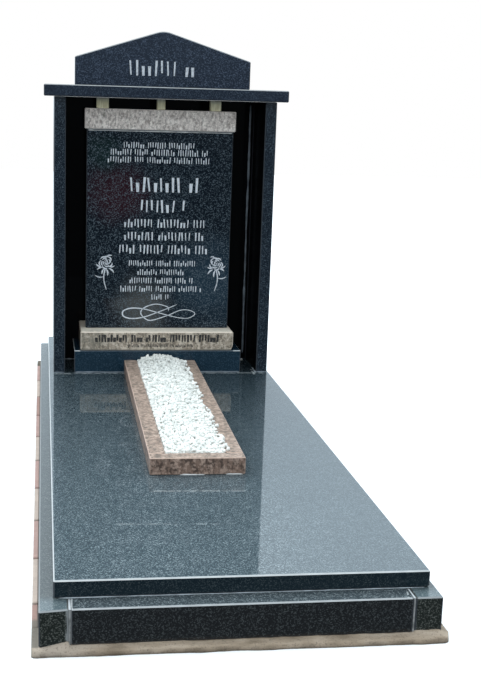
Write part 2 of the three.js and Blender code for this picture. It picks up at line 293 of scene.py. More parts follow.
# %% The recipe of the dark granite
def dark_granite(
    name, ground, fleck, dust, streaks=(), grain=0.0021, painted_reflections=(), upright=1.0, blur=0.035,
    dusty=(-1.2, 0.7), polish=1.0, paint_niche_shade=False, darkened_arris=(), quiet=None, edge=1.0,
):
    """Ground, patches of painted reflection, flecks, dust on faces that look up, wiped streaks, then the pale
    arris.

    upright is how much of the flecks shows on upright faces, and dusty is where along the grave the dust
    thins out. paint_niche_shade paints shade into the niche. darkened_arris lists stretches from side to side
    where the top arris is painted dark, under the bottom bar as painted shade, and how much grout the upright
    ones took. quiet is the stretch over which the flecks pale off to the right. edge is how pale an arris
    gets where it faces up and is painted lit, blur how soft the mirror image is, and polish how strong.
    """
    sheet = Sheet(name)
    east, north, up, arris = facing(sheet)
    base = ground
    # Soft patches of painted reflection: mirrored surroundings laid into the stone's colour
    for middle, reach, tint in painted_reflections:
        base = sheet.mix(glow(sheet, middle, reach), base, tint)
    level = up.step(0.9, 0.98)
    towards_foot = 1 - sheet.far("Y").step(*dusty)
    clouds = sheet.noise(0.03, 3).step(0.3, 0.7)
    shown = upright + (0.5 + 0.5 * towards_foot - upright) * level
    flecks = sheet.crystals(grain).step(0.60, 1.0) * (0.7 + clouds * 0.3) * shown
    if quiet:
        flecks = flecks * (1 - 0.5 * sheet.far("X").step(*quiet) * level)
    colour = sheet.mix(flecks, base, fleck)
    film = level * (0.3 + 0.7 * towards_foot) * (0.7 + 0.3 * sheet.noise(0.16, 4)) * dust
    colour = sheet.mix(film, colour, DUST)
    for streak in streaks:
        colour = sheet.mix(smear(sheet, *streak), colour, WIPED_GROUT)
    # The sawn arris is painted paler the more it faces up: painted light on it
    light = (0.05 + up.most(0.0)) * edge
    # Stretches where the top arris is painted dark (painted shade under the bottom bar) and grout pales the
    # upright arrises
    for low, high, grouted in darkened_arris:
        hidden = between(sheet, low, high)
        arris = arris * (1 - 0.9 * hidden * up.step(0.5, 0.6))
        light = light + grouted * hidden
    worn = sheet.noise(0.02, 4)
    sawn = sheet.mix(light * (0.75 + 0.5 * worn), SAWN_SHADED, SAWN_LIT)
    colour = sheet.mix(arris * 0.9, colour, sawn)
    mirror = (1 - arris * 0.9) * polish
    # Painted shade in the niche: its faces painted nearly black and their polish thinned
    if paint_niche_shade:
        dim = in_niche(sheet, east, north)
        colour = sheet.mix(dim * (1 - arris), colour, NICHE_SHADE)
        mirror = mirror * (1 - dim * 0.88)
    return sheet.finish(
        colour, 0.4 + 0.2 * worn, Coat_Weight=mirror, Coat_Roughness=blur, Coat_IOR=COAT_IOR, IOR=BODY_IOR
    )


DUST = (0.15, 0.21, 0.24)
WIPED_GROUT = (0.42, 0.45, 0.45)
# The arris's sawn stone, painted in shade and painted lit
SAWN_SHADED = (0.03, 0.036, 0.045)
SAWN_LIT = (0.60, 0.62, 0.62)
# The colour of the niche's painted shade
NICHE_SHADE = (0.0015, 0.0015, 0.002)
# The coat mirrors as a polish does, and the body under it hardly at all
COAT_IOR = 1.4
BODY_IOR = 1.12
NICHE_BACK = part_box("back_slab")[0].y
KERB_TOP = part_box("kerb_right")[1].z
LEDGER_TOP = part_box("ledger")[1].z
RIGHT_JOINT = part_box("grout_front_right")
LEFT_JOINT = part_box("grout_front_left")
print("the niche begins at", round(NICHE_BACK, 4), "and the ledger's top is at", round(LEDGER_TOP, 4))

# %% Streaks, painted reflections and joints
# Each streak is where it starts, where it ends, how wide it is and how strongly it shows
grout_streaks = [
    ((RIGHT_JOINT[0].x, -1.262, KERB_TOP), (RIGHT_JOINT[0].x + 0.006, -1.215, KERB_TOP), 0.005, 0.8),
    ((RIGHT_JOINT[0].x - 0.012, -1.258, KERB_TOP), (RIGHT_JOINT[0].x - 0.004, -1.22, KERB_TOP), 0.003, 0.6),
    ((LEFT_JOINT[1].x, -1.262, KERB_TOP), (LEFT_JOINT[1].x + 0.002, -1.215, KERB_TOP), 0.0035, 0.85),
]
ledger_streaks = [
    ((-0.129, -0.683, LEDGER_TOP), (0.093, -0.695, LEDGER_TOP), 0.005, 0.35),
    ((-0.233, -0.904, LEDGER_TOP), (0.020, -0.919, LEDGER_TOP), 0.004, 0.3),
    ((0.341, 0.62, LEDGER_TOP), (0.338, 0.548, LEDGER_TOP), 0.006, 0.7),
    ((-0.36, 0.566, LEDGER_TOP), (0.375, 0.566, LEDGER_TOP), 0.010, 0.55),
]
tablet_low, tablet_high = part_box("tablet")
# Each painted reflection is its middle, its reach and its colour: a mirrored patch laid into the tablet
tablet_painted_reflections = [
    ((tablet_low.x + 0.10, tablet_low.y, tablet_low.z + 0.47), 0.17, (0.021, 0.005, 0.009)),
    ((tablet_low.x + 0.06, tablet_low.y, tablet_low.z + 0.61), 0.10, (0.003, 0.013, 0.014)),
    ((tablet_high.x - 0.06, tablet_low.y, tablet_low.z + 0.17), 0.22, (0.014, 0.030, 0.046)),
    ((tablet_low.x + 0.20, tablet_low.y, tablet_low.z + 0.08), 0.15, (0.050, 0.052, 0.052)),
]
left_smear_x, left_face_y = LEFT_JOINT[0].x - 0.001, LEFT_JOINT[0].y
right_smear_x, right_face_y = RIGHT_JOINT[1].x, RIGHT_JOINT[0].y
end_streaks = [
    ((left_smear_x, left_face_y, 0.030), (left_smear_x, left_face_y, 0.085), 0.008, 0.45),
    ((right_smear_x + 0.001, right_face_y, 0.020), (right_smear_x, right_face_y, 0.034), 0.007, 0.6),
]
bottom_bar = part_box("bottom_bar")
# Each stretch is its left end, its right end and how much grout its upright arrises took
joints = [
    (LEFT_JOINT[0].x - 0.003, LEFT_JOINT[1].x + 0.0005, 0.33),
    (RIGHT_JOINT[0].x - 0.003, RIGHT_JOINT[1].x + 0.003, 0.0),
]
print("streaks:", len(grout_streaks) + len(ledger_streaks) + len(end_streaks), "tints:", len(tablet_painted_reflections))

# %% Eight dark granites
stone_finish = {
    "kerb": dark_granite(
        "kerb_granite", (0.008, 0.009, 0.010), (0.19, 0.215, 0.22), 0.17, grout_streaks, upright=0.22,
        darkened_arris=joints, edge=0.75,
    ),
    "kerb_side": dark_granite(
        "kerb_side_granite", (0.012, 0.015, 0.013), (0.145, 0.155, 0.142), 0.40, end_streaks, upright=0.65,
        dusty=(-1.235, -1.19), polish=0.68, darkened_arris=joints, edge=0.5,
    ),
    "ledger": dark_granite(
        "ledger_granite", (0.004, 0.011, 0.016), (0.22, 0.26, 0.27), 0.20, ledger_streaks, grain=0.0019,
        upright=0.15, blur=0.04, polish=0.78, quiet=(0.0, 0.3),
    ),
    "slab": dark_granite(
        "slab_granite", (0.004, 0.009, 0.016), (0.07, 0.095, 0.12), 0.10, paint_niche_shade=True, edge=0.6,
    ),
    # The block's top arris under the bottom bar is painted dark: painted shade of the bar
    "block": dark_granite(
        "block_granite", (0.004, 0.019, 0.034), (0.03, 0.06, 0.09), 0.0,
        darkened_arris=[(bottom_bar[0].x, bottom_bar[1].x, 0.0)],
    ),
    "tablet": dark_granite(
        "tablet_granite", (0.002, 0.006, 0.011), (0.09, 0.117, 0.14), 0.08, grain=0.0026, painted_reflections=tablet_painted_reflections,
        polish=0.45,
    ),
    "cap": dark_granite("cap_granite", (0.004, 0.010, 0.022), (0.05, 0.07, 0.10), 0.10, edge=0.6),
    "pediment": dark_granite(
        "pediment_granite", (0.006, 0.013, 0.027), (0.07, 0.095, 0.142), 0.08, grain=0.0024, edge=0.6,
    ),
}
print("dark granites:", ", ".join(stone_finish))

# %% [markdown]
# ## Light granites, mortar, brick and wood
# The two bars are a beige granite with a dull hone, the upper one paler, and the tray is a pinkish brown
# one. The three differ in their colours and in the size of their crystals, so one function makes them all.
# Mortar and brick are matt: their colour wanders and a bump gives them a grain. The bricks came from three
# firings, so each clay is a material of its own. Both are painted dark where they lie against the kerb's
# foot, which is painted shade, and the bricks are grey with damp at the front. The packing blocks are offcuts
# of soft wood, with a grain that runs up them, which is a noise stretched in one direction.


# %% The recipe of the light granites
def pale_granite(name, ground, dark, light, grain, mottle, top, stain=None):
    """Light and dark crystals over a ground, clouds of both, a painted sunlit top, a stain, then the pale
    arris, painted paler as it faces up.
    """
    sheet = Sheet(name)
    up, arris = facing(sheet)[2:]
    specks = sheet.crystals(grain)
    clouds = sheet.noise(grain * 2.4, 5, stretch=(1, 1, 0.5)).step(0.44, 0.60)
    pale = sheet.noise(grain * 4, 4, stretch=(1, 1, 0.6)).step(0.50, 0.62)
    colour = sheet.mix(clouds * mottle, ground, dark)
    colour = sheet.mix(pale * 0.6, colour, light)
    colour = sheet.mix(specks.step(0.60, 0.95) * 0.5, colour, dark)
    colour = sheet.mix(sheet.crystals(grain * 1.2).step(0.66, 0.98) * 0.5, colour, light)
    # Top faces painted paler with SUNLIT_TOP: painted light
    colour = sheet.mix(up.step(0.8, 0.98) * top, colour, SUNLIT_TOP)
    if stain:
        colour = sheet.mix(smear(sheet, *stain), colour, STAIN)
    # The arris painted paler the more it faces up: painted light
    colour = sheet.mix(arris * (0.45 + up.most(0.0) * 0.5), colour, light)
    normal = sheet.bump(sheet.noise(grain, 3), 0.0006, 0.5)
    return sheet.finish(colour, 0.36 + 0.15 * specks + arris * 0.2, normal, IOR=1.5)


# %% Mortar and grout
def mortar(name):
    """Sandy clouds between three colours, with dark pits, a paler left end, and painted shade beside the left
    kerb's foot.
    """
    sheet = Sheet(name)
    across, along = (sheet.far(letter) for letter in "XY")
    clouds = sheet.noise(0.024, 5, stretch=(0.35, 1, 1))
    stops = [(0.3, (0.17, 0.13, 0.09)), (0.5, (0.28, 0.22, 0.16)), (0.72, (0.38, 0.31, 0.24))]
    colour = sheet.node("ShaderNodeValToRGB", {"stops": stops}, {"Fac": clouds})
    colour = sheet.mix((1 - across.step(-0.37, -0.27)) * 0.6, colour, (0.42, 0.36, 0.30))
    # Mortar beside the left kerb's foot is painted dark: painted shade
    left_of_kerb = 1 - across.step(-KERB_SIDE - 0.002, -KERB_SIDE + 0.001)
    beside = left_of_kerb * along.step(KERB_FRONT - 0.004, KERB_FRONT + 0.006)
    colour = sheet.mix(beside * 0.9, colour, DAMP_AND_SHADE)
    sand = sheet.noise(0.004, 4)
    colour = sheet.mix((1 - sand.step(0.32, 0.45)) * 0.6, colour, (0.13, 0.10, 0.075))
    return sheet.finish(colour, 0.88 + 0.1 * sand, sheet.bump(sand + clouds * 0.6, 0.0014), IOR=1.45)


def grout_line(name):
    """Paler on its top faces, and darker and cloudier down its front."""
    sheet = Sheet(name)
    up = facing(sheet)[2]
    clouds = sheet.noise(0.012, 4)
    front = sheet.mix(clouds.step(0.35, 0.65), (0.13, 0.135, 0.135), (0.26, 0.265, 0.265))
    colour = sheet.mix(up.step(0.5, 0.95), front, (0.34, 0.36, 0.37))
    return sheet.finish(colour, 0.85 + 0.1 * clouds, sheet.bump(clouds, 0.0008), IOR=1.45)


# %% Wood and brick
def raw_wood(name):
    """Pale wood with a grain drawn out along the block's height, greyer at its top end."""
    sheet = Sheet(name)
    grain = sheet.noise(0.004, 4, stretch=(1, 1, 0.12))
    colour = sheet.mix(grain.step(0.35, 0.7), (0.66, 0.60, 0.38), (0.86, 0.82, 0.58))
    height = sheet.far("Z")
    low, high = (corner.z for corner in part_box("packing_block_middle"))
    colour = sheet.mix(height.step(low + 0.55 * (high - low), high) * 0.6, colour, (0.50, 0.50, 0.46))
    return sheet.finish(colour, 0.8 + 0.1 * grain, sheet.bump(grain, 0.0008), IOR=1.45)


def brick_clay(name, clay):
    """Clay of one firing: sandy grains, a painted shadow where it meets the kerb, and grey with damp at the
    front end.
    """
    sheet = Sheet(name)
    across, along = (sheet.far(letter) for letter in "XY")
    colour = sheet.mix(sheet.noise(0.03, 3).step(0.35, 0.7) * 0.6, clay, tuple(1.2 * c for c in clay))
    sand = sheet.noise(0.004, 5)
    colour = sheet.mix(sand.step(0.5, 0.75) * 0.6, colour, tuple(0.75 * c for c in clay))
    damp = 1 - along.step(DAMP_END - 0.02, DAMP_END)
    colour = sheet.mix(damp * 0.9, colour, DAMP_AND_SHADE)
    # A dark strip at the kerb: the painted shadow of the gap between brick and kerb
    kerb_contact_shadow = 1 - (abs(across) - KERB_SIDE).step(0.0025, 0.0045)
    colour = sheet.mix(kerb_contact_shadow * 0.85, colour, (0.09, 0.08, 0.07))
    return sheet.finish(colour, 0.9 + 0.05 * sand, sheet.bump(sand, 0.0012), IOR=1.45)


# %% Make the other finishes
# The colour of the painted light on top faces
SUNLIT_TOP = (0.95, 0.86, 0.72)
STAIN = (0.16, 0.15, 0.12)
# Grey of damp on the bricks' front end, and painted shade on the mortar by the kerb
DAMP_AND_SHADE = (0.155, 0.14, 0.115)
KERB_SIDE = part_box("kerb_right")[1].x
KERB_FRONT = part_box("kerb_left")[0].y
DAMP_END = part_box("brick_left_01")[1].y - 0.065
top_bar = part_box("top_bar")
left_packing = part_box("packing_block_left")
# The upper bar is stained below the left packing block, and the lower one at its left end
drip_x = 0.5 * (left_packing[0].x + left_packing[1].x)
face, head = top_bar[0].y, top_bar[1].z
drip = ((drip_x, face, head), (drip_x + 0.004, face, head - 0.03), 0.012, 0.7)
left, face, foot = bottom_bar[0]
end_stain = ((left + 0.01, face, foot + 0.01), (left + 0.05, face, foot + 0.045), 0.05, 0.6)
stone_finish["beige"] = pale_granite(
    "beige_granite", (0.35, 0.29, 0.225), (0.14, 0.115, 0.085), (0.70, 0.61, 0.50), 0.0036, 0.9, 0.7,
    end_stain,
)
stone_finish["top_beige"] = pale_granite(
    "top_bar_granite", (0.66, 0.59, 0.54), (0.27, 0.23, 0.205), (0.96, 0.89, 0.82), 0.0036, 0.8, 0.2,
    drip,
)
stone_finish["brown"] = pale_granite(
    "brown_granite", (0.19, 0.125, 0.095), (0.055, 0.035, 0.026), (0.44, 0.32, 0.255), 0.0044, 0.9, 0.07
)
stone_finish["cement"] = mortar("cement")
stone_finish["grout"] = grout_line("grout")
CLAYS = {"red_brick": (0.31, 0.20, 0.17), "pink_brick": (0.37, 0.25, 0.22), "sandy_brick": (0.43, 0.35, 0.30)}
for name, clay in CLAYS.items():
    stone_finish[name] = brick_clay(name, clay)
stone_finish["wood"] = raw_wood("raw_wood")
print("finishes so far:", len(stone_finish))

# %% [markdown]
# ## Dressing the slabs
# Each slab keeps its own mesh. A material put into the object's slots is all that changes. The bricks are
# dressed one by one, because each is of one of the three clays.

# %% Dress the slabs
DRESS = [
    ("kerb_front", "kerb"),
    ("kerb_back", "kerb"),
    ("kerb_left", "kerb_side"),
    ("kerb_right", "kerb_side"),
    ("ledger", "ledger"),
    ("side_slab", "slab"),
    ("back_slab", "slab"),
    ("cap", "cap"),
    ("pediment", "pediment"),
    ("base_block", "block"),
    ("tablet", "tablet"),
    ("top_bar", "top_beige"),
    ("tray", "brown"),
    ("grout", "grout"),
]


def dress(name, finish):
    for slot in nodes[name].material_slots:
        slot.material = stone_finish[finish]


for start, finish in DRESS:
    dressed = [name for name in nodes if name.startswith(start)]
    for name in dressed:
        dress(name, finish)
    print(start, "->", finish, len(dressed))

# Which clay each brick is of, from the front to the back
COURSE = ["red", "sandy", "pink", "sandy", "pink", "sandy", "pink", "red", "sandy", "pink"]
for place, clay in enumerate(COURSE, start=1):
    for side in ("left", "right"):
        dress(f"brick_{side}_{place:02d}", clay + "_brick")
print("bricks dressed:", 2 * len(COURSE))

# %% [markdown]
# ## From arrays to pieces
# The pieces below are surfaces worked out as whole arrays, because a loop over points is slow in Python
# and hides the formula. Five helpers serve them all. One turns points and faces into an object that rides
# with the memorial, and one gives the faces of a grid of points. One is a smooth noise, for whatever was
# laid by hand. The last two close a skin over a row of sections, and turn its faces outwards.


# %% Mesh helpers
def new_piece(name, points, faces, finish, slot, smooth=True):
    """A mesh object at the origin, made of points (n, 3) in metres and a list of faces."""
    mesh = bpy.data.meshes.new(name)
    mesh.from_pydata(np.asarray(points, dtype=float).tolist(), [], [list(map(int, face)) for face in faces])
    mesh.validate()
    mesh.polygons.foreach_set("use_smooth", np.full(len(mesh.polygons), smooth))
    mesh.materials.append(finish)
    piece = bpy.data.objects.new(name, mesh)
    bpy.context.scene.collection.objects.link(piece)
    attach(piece, "root")
    print(name, len(mesh.vertices), "points,", len(mesh.polygons), "faces")
    return piece


def grid_faces(rows, columns, wrap=False):
    """Four-sided faces between neighbours of a grid; wrap joins the last column to the first."""
    i, j = np.meshgrid(np.arange(rows - 1), np.arange(columns if wrap else columns - 1), indexing="ij")
    after = (j + 1) % columns
    corners = [i * columns + j, i * columns + after, (i + 1) * columns + after, (i + 1) * columns + j]
    return np.stack(corners, axis=-1).reshape(-1, 4)


def soft_noise(a, b, seed, octaves=3):
    """Random heights on a lattice, eased between neighbours, with finer and weaker copies on top."""
    table = np.random.default_rng(seed).uniform(-1, 1, (64, 64))
    total = 0.0
    for octave in range(octaves):
        x, y = a * 2**octave, b * 2**octave
        i, j = np.floor(x).astype(int), np.floor(y).astype(int)
        s, t = x - i, y - j
        s, t = s * s * (3 - 2 * s), t * t * (3 - 2 * t)
        low = table[i % 64, j % 64] * (1 - s) + table[(i + 1) % 64, j % 64] * s
        high = table[i % 64, (j + 1) % 64] * (1 - s) + table[(i + 1) % 64, (j + 1) % 64] * s
        total = total + (low * (1 - t) + high * t) / 2**octave
    return total


def sweep(name, sections, finish, slot, smooth=True):
    """A closed skin over sections (rings, points, 3), with a flat end at the first and the last ring."""
    rings, around = sections.shape[:2]
    faces = [list(face) for face in grid_faces(rings, around, wrap=True)]
    faces.append(list(range(around))[::-1])
    faces.append(list(range((rings - 1) * around, rings * around)))
    return face_out(new_piece(name, sections.reshape(-1, 3), faces, finish, slot, smooth))


def face_out(piece):
    """Turns every face of a closed mesh outwards."""
    shell = bmesh.new()
    shell.from_mesh(piece.data)
    bmesh.ops.recalc_face_normals(shell, faces=shell.faces)
    shell.to_mesh(piece.data)
    shell.free()
    return piece


# %% [markdown]
# ## Mortar under the ends of the kerb
# The strip under the front of the kerb was trowelled by hand. Its front edge wanders, its ends are
# rounded, the right one more, and at both corners the mortar was pressed up against the foot of the
# stones. It could be a block pushed about by a noise, but then it would leave the kerb's face too. One
# profile keeps to it. It runs from the ground up the front, over the top to the kerb's face and back under
# the kerb, and it is carried across the grave, with the height against the kerb as a function of where it
# is. From front to back the strip is kept within the depth of its solid.


# %% The mortar's profile
STRIP_STEPS = 260
# How far in from each end the strip begins to round off
LEFT_ROUND = 0.006
RIGHT_ROUND = 0.016
# How far the mortar is tucked behind the right stone's face
RIGHT_TUCK = 0.0005


def kerb_face(x):
    """Where the kerb's front face stands at x, between the corners of the three stones along the front."""
    left, front, right = (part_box(name) for name in ("kerb_left", "kerb_front", "kerb_right"))
    return np.interp(x, [left[0].x, front[0].x, right[1].x], [left[0].y, front[0].y, right[0].y + RIGHT_TUCK])


def mortar_strip(name, node, face, press, seed):
    """The profile at each x: foot, front, nose, top, up against the kerb, back under it and down again."""
    low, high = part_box(node)
    depth = high.y - low.y
    top = high.z - low.z
    towards = -1.0 if low.y < 0 else 1.0
    outer = low.y if towards < 0 else high.y
    x = np.linspace(low.x, high.x, STRIP_STEPS)
    reach = np.minimum(x - low.x, high.x - x)
    bend = np.where(x < 0, LEFT_ROUND, RIGHT_ROUND)
    corner = bend - np.sqrt(bend**2 - np.clip(bend - reach, 0, None) ** 2)
    wander = 0.0024 + 0.0018 * soft_noise(x * 22, x * 0 + 0.3, seed)
    edge = outer - towards * (corner + wander)
    ragged = 0.0012 * soft_noise(x * 60, x * 0 + 1.7, seed + 1)
    against = face(x)
    rise = press(x)
    inner = outer - towards * depth
    level = low.z + top - 0.0006
    nose = level - 0.0035 + ragged
    profile = [
        (edge, np.full_like(x, low.z)),
        (edge - towards * 0.0004 + ragged, low.z + 0.35 * top + ragged),
        (edge - towards * 0.0010 - ragged, nose - 0.002),
        (edge - towards * 0.0035, nose + 0.0015),
        (edge * 0.55 + against * 0.45, level - 0.0012 + 0.25 * rise + ragged * 0.7),
        (against + towards * 0.0030, level + 0.75 * rise),
        (against + towards * 0.0004, level + rise),
        (against - towards * 0.0050, level + rise * 0.6),
        (against - towards * 0.0060, np.full_like(x, level)),
        (np.full_like(x, inner), np.full_like(x, level)),
        (np.full_like(x, inner), np.full_like(x, low.z)),
    ]
    sections = np.stack([np.stack([x, y, z], axis=-1) for y, z in profile], axis=1)
    sections[..., 1] = np.clip(sections[..., 1], low.y, high.y)
    strip = sweep(name, sections, stone_finish["cement"], "cement")
    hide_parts(node)


# %% How high the mortar is pressed up
def front_press(x):
    """Mortar pressed up at both front corners: rising to the left joint, and level under the right stone."""
    joint_left = LEFT_JOINT[0].x
    joint_right = RIGHT_JOINT[1].x
    left_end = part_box("kerb_left")[0].x
    left = np.where(x < joint_left, 0.010 * np.clip((x - left_end) / (joint_left - left_end), 0, 1), 0.0)
    right = 0.005 * np.clip((x - joint_right + 0.004) / 0.006, 0, 1)
    end = np.clip((KERB_SIDE + 0.006 - x) / 0.012, 0, 1)
    return left + right * end + 0.0012 + 0.0010 * soft_noise(x * 40, x * 0 + 5.1, 4)


def back_press(x):
    """A thin hand-pressed fillet, for the end that stands hidden."""
    return 0.0022 + 0.0016 * soft_noise(x * 30, x * 0 + 2.2, 9)


back_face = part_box("kerb_back")[1].y
mortar_strip("mortar_strip_front", "cement_front", kerb_face, front_press, 21)
mortar_strip("mortar_strip_back", "cement_back", lambda x: np.full_like(x, back_face), back_press, 33)

# %% [markdown]
# ## The chipped bottom bar
# The beige bar under the tablet has lost a corner, low on its right. Chips leave flat, dull faces, so the
# bar is a block with its edges cut at 45 degrees, then cut again by two planes across that corner. The cut
# faces lean, so the granite's recipe already takes them for unpolished stone.


# %% Bottom bar
BAR_ARRIS = 0.004
# Each cut is how far it reaches in from the right end, how far up from the foot, and how deep from the face
BAR_CHIPS = [(0.0075, 0.021, 0.030), (0.012, 0.011, 0.018)]
BAR_NICK = (0.005, 0.006, 0.007)


def chipped_bar():
    """A block with bevelled edges, cut by one leaning plane for each chip, and closed where it was cut."""
    low, high = bottom_bar
    shell = bmesh.new()
    bmesh.ops.create_cube(shell, size=1.0)
    bmesh.ops.scale(shell, vec=high - low, verts=shell.verts)
    bmesh.ops.translate(shell, vec=(low + high) / 2, verts=shell.verts)
    bmesh.ops.bevel(shell, geom=shell.edges[:], offset=BAR_ARRIS, segments=1, affect="EDGES")
    foot = Vector((high.x, low.y, low.z))
    head = Vector((high.x, low.y, high.z))
    cuts = [(foot, chip, 1.0) for chip in BAR_CHIPS] + [(head, BAR_NICK, -1.0)]
    for corner, (along, up, deep), way in cuts:
        away = Vector((1 / along, -1 / deep, -way / up))
        point = corner - Vector((along, 0, 0))
        everything = shell.verts[:] + shell.edges[:] + shell.faces[:]
        cut = bmesh.ops.bisect_plane(shell, geom=everything, plane_co=point, plane_no=away, clear_outer=True)
        edges = [item for item in cut["geom_cut"] if isinstance(item, bmesh.types.BMEdge)]
        bmesh.ops.contextual_create(shell, geom=edges)
    bmesh.ops.recalc_face_normals(shell, faces=shell.faces)
    points = [vertex.co[:] for vertex in shell.verts]
    shell.verts.index_update()
    faces = [[vertex.index for vertex in face.verts] for face in shell.faces]
    shell.free()
    bar = new_piece("chipped_bottom_bar", points, faces, stone_finish["beige"], "beige_granite", smooth=False)
    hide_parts("bottom_bar")


chipped_bar()

# %% [markdown]
# ## Packing blocks
# Three offcuts of wood wedge the top bar under the cap. A cuboid with soft corners is a superellipsoid:
# the same two angles as a sphere, with each sine and cosine drawn towards 1 by a small power. A little
# noise roughens it.


# %% Packing blocks
BLOCK_RINGS = 28
BLOCK_AROUND = 48
BLOCK_SOFTNESS = 0.14


def soft_power(value):
    """The value's size taken to a small power, with its sign kept."""
    return np.sign(value) * np.abs(value) ** BLOCK_SOFTNESS


def packing_block(node, seed):
    """x = cos(a) cos(b), y = sin(a) cos(b), z = sin(b), each with its size taken to a small power."""
    low, high = (np.array(corner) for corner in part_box(node))
    b, a = np.meshgrid(
        np.linspace(-math.pi / 2 + 0.02, math.pi / 2 - 0.02, BLOCK_RINGS),
        np.linspace(0, 2 * math.pi, BLOCK_AROUND, endpoint=False) + math.pi / BLOCK_AROUND,
        indexing="ij",
    )
    level = soft_power(np.cos(b))
    x, y, z = soft_power(np.cos(a)) * level, soft_power(np.sin(a)) * level, soft_power(np.sin(b))
    shape = np.stack([x, y, z], axis=-1)
    rough = 1 - 0.02 * (1 + soft_noise(shape[..., 0] * 2 + shape[..., 2], shape[..., 1] * 2, seed))
    points = (low + high) / 2 + shape * rough[..., None] * (high - low) / 2
    points[..., 2] = np.clip(points[..., 2], low[2], high[2])
    offcut = sweep(node + "_offcut", points, stone_finish["wood"], "packing", smooth=False)
    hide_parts(node)


for seed, side in enumerate(("left", "middle", "right")):
    packing_block("packing_block_" + side, 51 + seed)

# %% [markdown]
# ## White pebbles
# The tray is heaped with tumbled marble. Dropping over two thousand stones by simulation would be slow,
# and one object for each would be heavy. So one small stone of two dozen faces is made once, and every
# copy is that stone stretched, turned and put in place by arrays, all in one mesh. The places come from a
# grid of hexagons, jittered, at the height of the bed, which is crowned across the tray and heaped against
# the headstone. One more row lies against the front rail, and some stones lie over the edge of the right
# one. Under them lies a sheet of the same bed, so no gap shows the ledger.

# %% Tray frame
TRAY_TURN = -0.0105
BED_CROWN = 0.009
BED_HEAP = 0.013
BED_HEAP_LENGTH = 0.090
PEBBLE_PITCH = 0.0095
SPILLED_STONES = 90
FRONT_STONES = 26
RAIL_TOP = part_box("tray_left")[1].z
BED_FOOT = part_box("tray_left")[0].z

bed_low, bed_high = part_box("pebbles")
turn_sine, turn_cosine = abs(math.sin(TRAY_TURN)), math.cos(TRAY_TURN)
# The box round a turned rectangle gives back its two sides
span_x, span_y = bed_high.x - bed_low.x, bed_high.y - bed_low.y
spread = turn_cosine**2 - turn_sine**2
bed_width = (span_x * turn_cosine - span_y * turn_sine) / spread
bed_length = (span_y * turn_cosine - span_x * turn_sine) / spread
bed_middle = (bed_low + bed_high) / 2
print("pebble bed", round(bed_width, 4), "by", round(bed_length, 4))


def in_tray(u, v, z):
    """From shares across and along the bed to a place in the memorial: a turn about the bed's middle."""
    x = (u - 0.5) * bed_width
    y = (v - 0.5) * bed_length
    return np.stack(
        [
            bed_middle.x + x * math.cos(TRAY_TURN) - y * math.sin(TRAY_TURN),
            bed_middle.y + x * math.sin(TRAY_TURN) + y * math.cos(TRAY_TURN),
            z,
        ],
        axis=-1,
    )


def bed_height(u, v):
    """The rail's height, a crown across and a heap that dies away from the headstone."""
    across = np.sin(math.pi * np.clip(u, 0, 1))
    back = (1 - v) * bed_length
    heap = BED_HEAP * np.exp(-((back / BED_HEAP_LENGTH) ** 2)) * np.minimum(across * 1.1, 1)
    return RAIL_TOP + BED_CROWN * across + heap * (1 + 0.35 * soft_noise(u * 5, v * 30, 8))


# %% One small stone, and turns for its copies
def small_stone():
    """A cube cut in four on each face and blown up to a ball: its points and its faces."""
    ball = bmesh.new()
    bmesh.ops.create_cube(ball, size=2.0)
    bmesh.ops.subdivide_edges(ball, edges=ball.edges[:], cuts=1, use_grid_fill=True)
    bmesh.ops.recalc_face_normals(ball, faces=ball.faces)
    ball.verts.index_update()
    points = np.array([vertex.co[:] for vertex in ball.verts])
    faces = np.array([[vertex.index for vertex in face.verts] for face in ball.faces])
    ball.free()
    return points / np.linalg.norm(points, axis=1)[:, None], faces


def random_turns(count, rng):
    """Turns spread evenly over all directions, from four normal numbers each."""
    w, x, y, z = rng.normal(size=(count, 4)).T
    size = np.sqrt(w * w + x * x + y * y + z * z)
    w, x, y, z = w / size, x / size, y / size, z / size
    rows = [
        [1 - 2 * (y * y + z * z), 2 * (x * y - w * z), 2 * (x * z + w * y)],
        [2 * (x * y + w * z), 1 - 2 * (x * x + z * z), 2 * (y * z - w * x)],
        [2 * (x * z - w * y), 2 * (y * z + w * x), 1 - 2 * (x * x + y * y)],
    ]
    return np.moveaxis(np.array(rows), -1, 0)


# %% Where the pebbles lie
def pebble_places(rng):
    """A jittered grid of hexagons over the bed, stones on the right rail's edge, and a row at the front."""
    across = int(bed_width / PEBBLE_PITCH) + 1
    along = int(bed_length / (PEBBLE_PITCH * 0.87)) + 1
    row, column = np.meshgrid(np.arange(along), np.arange(across), indexing="ij")
    u = (column + 0.5 * (row % 2) + 0.25) / across + rng.normal(0, 0.25 / across, row.shape)
    v = (row + 0.5) / along + rng.normal(0, 0.25 / along, row.shape)
    u, v = np.clip(u.ravel(), 0.035, 0.965), np.clip(v.ravel(), 0.004, 0.994)
    z = bed_height(u, v) - 0.005 + rng.uniform(-0.003, 0.003, u.size)
    spill_u = 1 + rng.uniform(-0.04, 0.035, SPILLED_STONES)
    spill_v = rng.uniform(0.01, 0.98, SPILLED_STONES)
    spill_z = np.full(SPILLED_STONES, RAIL_TOP + 0.0045)
    front_u = np.linspace(0.04, 0.96, FRONT_STONES) + rng.normal(0, 0.01, FRONT_STONES)
    front_v = rng.uniform(0.001, 0.006, FRONT_STONES)
    front_z = RAIL_TOP + rng.uniform(-0.003, 0.002, FRONT_STONES)
    return in_tray(np.r_[u, spill_u, front_u], np.r_[v, spill_v, front_v], np.r_[z, spill_z, front_z])


